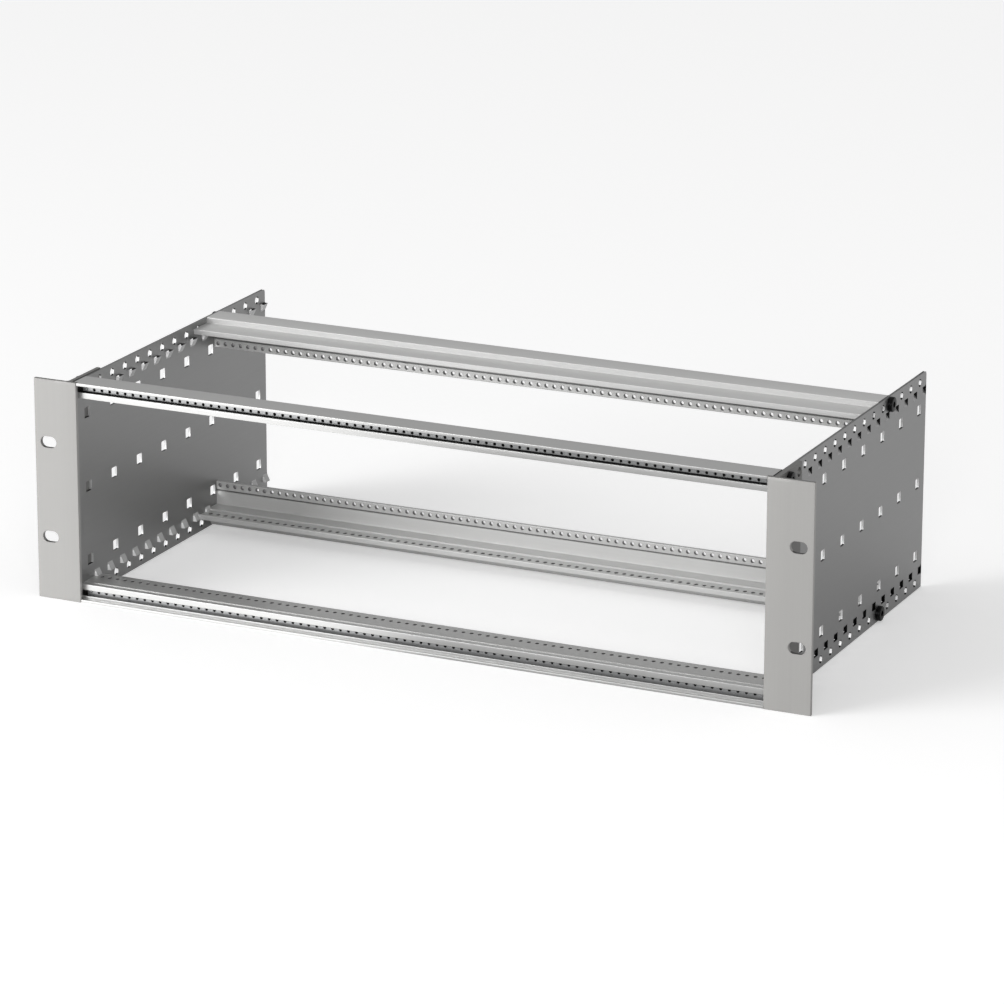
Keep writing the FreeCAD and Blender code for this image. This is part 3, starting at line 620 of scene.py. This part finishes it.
def makeBracket(name, turned):
    outline = roundOutline(bracket["outline"])
    half, thick, high, low = (bracket[key] for key in ("half", "thick", "legHoleHeight", "slotHeight"))
    across, along = bracket["slotSteps"]
    slotRows = [holeLines((bracket["slotAcross"], depth), (1, 0), across, 8) for depth in (0, thick)]
    legRows = [holeLines((side, depth), (0, 1), bracket["legStep"]) for side in bracket["leg"][::-1]
               for depth in bracket["legHoles"]]
    outline = addPoints(outline, np.concatenate(slotRows + legRows))
    lines = np.concatenate([high + np.arange(-2, 3) * bracket["legStep"], low + np.arange(-4, 5) * along,
                            [half - bracket["eased"]]])
    stations = np.sort(np.concatenate([lines, -lines, [-half, half]]))
    slots = {"rows": [firstRow(outline, row) for row in slotRows], "cells": 8, "half": bracket["slot"],
             "columns": firstColumn(stations, [-low, low], 8), "corner": bracket["slot"][1], "depth": thick / 2}
    holes = {"rows": [firstRow(outline, row) for row in legRows], "half": (bracket["legHole"],) * 2,
             "columns": firstColumn(stations, [-high, high]), "corner": bracket["legHole"], "depth": thick / 2}

    # both ends of the front part are eased a little, front and back
    def easeEnds(grid):
        eased = (np.abs(grid[..., 2]) > half - 0.1) & (grid[..., 0] > bracket["easedFrom"])
        grid[..., 1] += np.where(eased, np.sign(thick / 2 - grid[..., 1]) * bracket["eased"], 0)
        return grid

    patches = carryOutline(outline, stations, [slots, holes], easeEnds)
    buildPiece(name + "_look", halfTurn(patches) if turned else patches, flangeMetal, [name],
               shadeRule=bracketShade)


makeBracket("mounting_bracket_right", False)
makeBracket("mounting_bracket_left", True)
print("brackets made")

# The crown is the rounded edge of the head's top, in steps of (inset, drop).
screw = {"shank": 2.2, "point": 1.5, "head": 4.4, "headHeight": 2.5, "chamfer": 0.15, "socket": 1.55,
         "socketDepth": 1.5, "crown": ((0, 0.55), (0.1, 0.3), (0.3, 0.1), (0.6, 0))}
grub = {"radius": 0.8, "chamfer": 0.2, "socket": 0.42, "socketDepth": 0.7, "sides": 24}


# Screw from the side: its head stands on the plate or the bracket, with a hexagon socket.
def makeScrew(name):
    low, high = (np.array(corner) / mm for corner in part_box(name))
    middle, length = (low + high) / 2, high[0] - low[0]
    seat, top = length - screw["headHeight"], length
    point, shank, head, chamfer, socket = (screw[key] for key in ("point", "shank", "head", "chamfer", "socket"))
    bottom = length - screw["socketDepth"]
    outline = [(0, 0, 0), (point, 0, 0), (shank, shank - point, 0), (shank, seat, 0), (head - chamfer, seat, 0),
               (head, seat + chamfer, 0)]
    outline += [(head - inset, top - drop, 0) for inset, drop in screw["crown"]]
    outline += [(socket + chamfer, top, 1), (socket, top - chamfer, 1), (socket, bottom, 1),
                (0, bottom - 2 * chamfer, 0)]
    side = np.sign(middle[0])
    patches = [patch[..., [2, 0, 1]] + (min(abs(low[0]), abs(high[0])), middle[1], middle[2] * side)
               for patch in turnOutline(outline)]
    buildPiece(name + "_look", halfTurn(patches) if side < 0 else patches, screwMetal, [name])


# Headless screw in the end hole of a strip, with its socket to the front.
def makeGrub(name):
    low, high = (np.array(corner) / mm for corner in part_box(name))
    middle, length = (low + high) / 2, high[1] - low[1]
    radius, chamfer, socket = grub["radius"], grub["chamfer"], grub["socket"]
    bottom = length - grub["socketDepth"]
    outline = [(0, 0, 0), (radius - chamfer, 0, 0), (radius, chamfer, 0), (radius, length - chamfer, 0),
               (radius - chamfer, length, 0), (socket, length, 1), (socket, bottom, 1), (0, bottom, 0)]
    patches = [patch[..., [0, 2, 1]] * (1, -1, 1) + (middle[0], high[1], middle[2])
               for patch in turnOutline(outline, grub["sides"])]
    buildPiece(name + "_look", patches, stripMetal, [name])


for nodeName in list(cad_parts):
    if nodeName.startswith(("front_screw", "rear_screw")):
        makeScrew(nodeName)
    if nodeName.startswith("strip_screw"):
        makeGrub(nodeName)
print("screws made")

# The solids behind the visible pieces wear the same metals.
metalOf = {"side": plateMetal, "mounting": flangeMetal, "threaded": stripMetal, "front_rail": frontMetal,
           "rear_rail": rearMetal, "front_screw": screwMetal, "rear_screw": screwMetal, "strip_screw": stripMetal}
for nodeName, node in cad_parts.items():
    node.data.materials.clear()
    node.data.materials.append(next(metal for start, metal in metalOf.items() if nodeName.startswith(start)))


# Floor: its colour, how much brighter the camera and mirror-like faces see it, and a painted reflection in the part
# before the object, seen only by mirror-like faces: a painted glow on the left that gives way to painted shade on the
# right, along a slanting line.
floorLook = {"size": 8.0, "paint": "#EFEFEF", "cameraLift": 0.34, "mirrorLift": 0.06,
             "glow": 1.4, "shade": "#A0A0A0", "slant": -0.49, "change": (-0.08, 0.03), "before": (0.02, -0.005)}


def makeFloor():
    size = floorLook["size"]
    mesh = bpy.data.meshes.new("floor")
    level = floorLevel * mm
    mesh.from_pydata([(-size, -size, level), (size, -size, level), (size, size, level), (-size, size, level)],
                     [], [(0, 1, 2, 3)])
    floor = bpy.data.objects.new("floor", mesh)
    bpy.context.scene.collection.objects.link(floor)
    material, tree = newMaterial("paleFloor")

    def calculate(operation, links, factor=None):
        settings = {"operation": operation} if factor is None else {"operation": operation, 1: factor}
        return addNode(tree, "ShaderNodeMath", settings, links).outputs[0]

    # the camera sees the lit floor lifted towards white, and mirror-like faces less so; its shadow stays
    path = addNode(tree, "ShaderNodeLightPath").outputs
    inMirror = calculate("MULTIPLY", {0: path["Is Glossy Ray"]}, floorLook["mirrorLift"])
    base = calculate("MULTIPLY_ADD", {0: path["Is Camera Ray"], 2: inMirror}, floorLook["cameraLift"])
    place = addNode(tree, "ShaderNodeSeparateXYZ",
                    links={0: addNode(tree, "ShaderNodeTexCoord").outputs["Object"]}).outputs
    slant = calculate("MULTIPLY_ADD", {0: place[1], 2: place[0]}, floorLook["slant"])
    toRight = addNode(tree, "ShaderNodeMapRange", {
        "interpolation_type": "SMOOTHSTEP", "From Min": floorLook["change"][0], "From Max": floorLook["change"][1],
        "To Min": 0.0, "To Max": 1.0}, {"Value": slant}).outputs[0]
    before = addNode(tree, "ShaderNodeMapRange", {
        "From Min": floorLook["before"][0], "From Max": floorLook["before"][1], "To Min": 0.0, "To Max": 1.0},
        {"Value": place[1]}).outputs[0]
    mirrored = calculate("MULTIPLY", {0: before, 1: path["Is Glossy Ray"]})
    darker = calculate("MULTIPLY", {0: mirrored, 1: toRight})
    brighter = calculate("SUBTRACT", {0: mirrored, 1: darker})
    lift = calculate("MULTIPLY_ADD", {0: brighter, 2: base}, floorLook["glow"])
    paint = addNode(tree, "ShaderNodeMix", {"data_type": "RGBA", 6: linearColour(floorLook["paint"]),
                                            7: linearColour(floorLook["shade"])}, {0: darker})
    matte = addNode(tree, "ShaderNodeBsdfDiffuse", links={"Color": paint.outputs[2]})
    glow = addNode(tree, "ShaderNodeEmission", {"Color": (1, 1, 1, 1)}, {"Strength": lift})
    total = addNode(tree, "ShaderNodeAddShader", links={0: matte.outputs[0], 1: glow.outputs[0]})
    addNode(tree, "ShaderNodeOutputMaterial", links={"Surface": total.outputs[0]})
    mesh.materials.append(material)


# Turn of a lamp that shines back along a direction.
def faceFrom(away):
    return (math.atan2(math.hypot(away[0], away[1]), away[2]), 0, math.atan2(away[0], -away[1]))


def addLamp(name, place, target, size, power):
    light = bpy.data.lights.new(name, "AREA")
    light.shape = "RECTANGLE"
    light.size, light.size_y = size
    light.energy = power
    lamp = bpy.data.objects.new(name, light)
    lamp.location = place
    lamp.rotation_euler = faceFrom(np.array(place, float) - np.array(target, float))
    bpy.context.scene.collection.objects.link(lamp)


makeFloor()
keyLamp = {"place": (-1.6, -1.95, 0.62), "target": (0, 0, 0), "size": (1.6, 1.36), "power": 28}
addLamp("softbox", **keyLamp)
# a second, weaker lamp at the front right reaches the inside of the left plate and the rear rails
fillLamp = {"place": (1.1, -2.3, 0.7), "target": (0, 0.1, 0), "size": (0.9, 0.9), "power": 19}
addLamp("frontFill", **fillLamp)
sideSun = {"from": (-0.85, -0.75, 0.65), "strength": 0.9, "spread": 34}
sun = bpy.data.lights.new("broadSide", "SUN")
sun.energy, sun.angle = sideSun["strength"], math.radians(sideSun["spread"])
sunObject = bpy.data.objects.new("broadSide", sun)
sunObject.rotation_euler = faceFrom(sideSun["from"])
bpy.context.scene.collection.objects.link(sunObject)

world = bpy.data.worlds.new("studio")
bpy.context.scene.world = world
world.use_nodes = True
world.node_tree.nodes.clear()
skyLook = {"front": 0.48, "back": 0.45}  # the studio is a little dimmer behind the object
skyPlace = addNode(world.node_tree, "ShaderNodeSeparateXYZ",
                   links={0: addNode(world.node_tree, "ShaderNodeTexCoord").outputs["Generated"]})
skyLevel = addNode(world.node_tree, "ShaderNodeMapRange",
                   {"From Min": -1.0, "From Max": 1.0, "To Min": skyLook["front"], "To Max": skyLook["back"]},
                   {"Value": skyPlace.outputs[1]})
sky = addNode(world.node_tree, "ShaderNodeBackground", {"Color": (1, 1, 1, 1)}, {"Strength": skyLevel.outputs[0]})
addNode(world.node_tree, "ShaderNodeOutputWorld", links={"Surface": sky.outputs[0]})

view = {"place": (1.133479, -2.307130, 0.820813), "turn": (73.692, -0.111, 25.075), "lens": 172.97,
        "shift": (0.0012, -0.0777), "sensor": 36, "far": 50}
camera = bpy.data.cameras.new("camera")
camera.lens = view["lens"]
camera.sensor_width = view["sensor"]
camera.shift_x, camera.shift_y = view["shift"]
camera.clip_end = view["far"]
cameraObject = bpy.data.objects.new("camera", camera)
cameraObject.location = view["place"]
cameraObject.rotation_euler = [math.radians(angle) for angle in view["turn"]]
bpy.context.scene.collection.objects.link(cameraObject)
bpy.context.scene.camera = cameraObject
bpy.context.scene.view_settings.view_transform = "Standard"
print("stage made")
